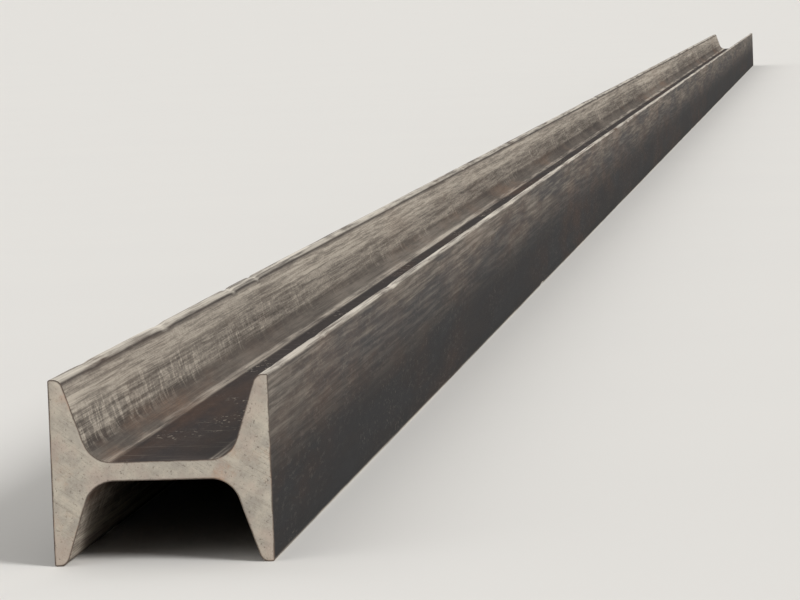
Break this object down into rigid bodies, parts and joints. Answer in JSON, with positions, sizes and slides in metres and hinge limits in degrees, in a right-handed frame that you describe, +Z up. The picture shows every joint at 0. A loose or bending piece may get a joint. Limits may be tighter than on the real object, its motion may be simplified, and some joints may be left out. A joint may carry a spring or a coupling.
{
  "type": "steel i-beam",
  "caption": "Hot-rolled steel beam with a stocky I section: wide tapered flanges, a thick web, curved roots and square sawn ends, lying on its side.",
  "frame": {"origin": "middle of the beam's base, at the height of the lower flange tips that it lies on", "axes": "+Y along the beam, -Y towards the end that the picture shows; X across the section from flange to flange; +Z up, square to the level web"},
  "size_m": [0.09, 9, 0.076],
  "materials": {
    "rolled_steel": "mill scale with light surface rust; bare sawn ends"
  },
  "bodies": {
    "root": {"i_beam": "rolled_steel"}
  },
  "joints": []
}
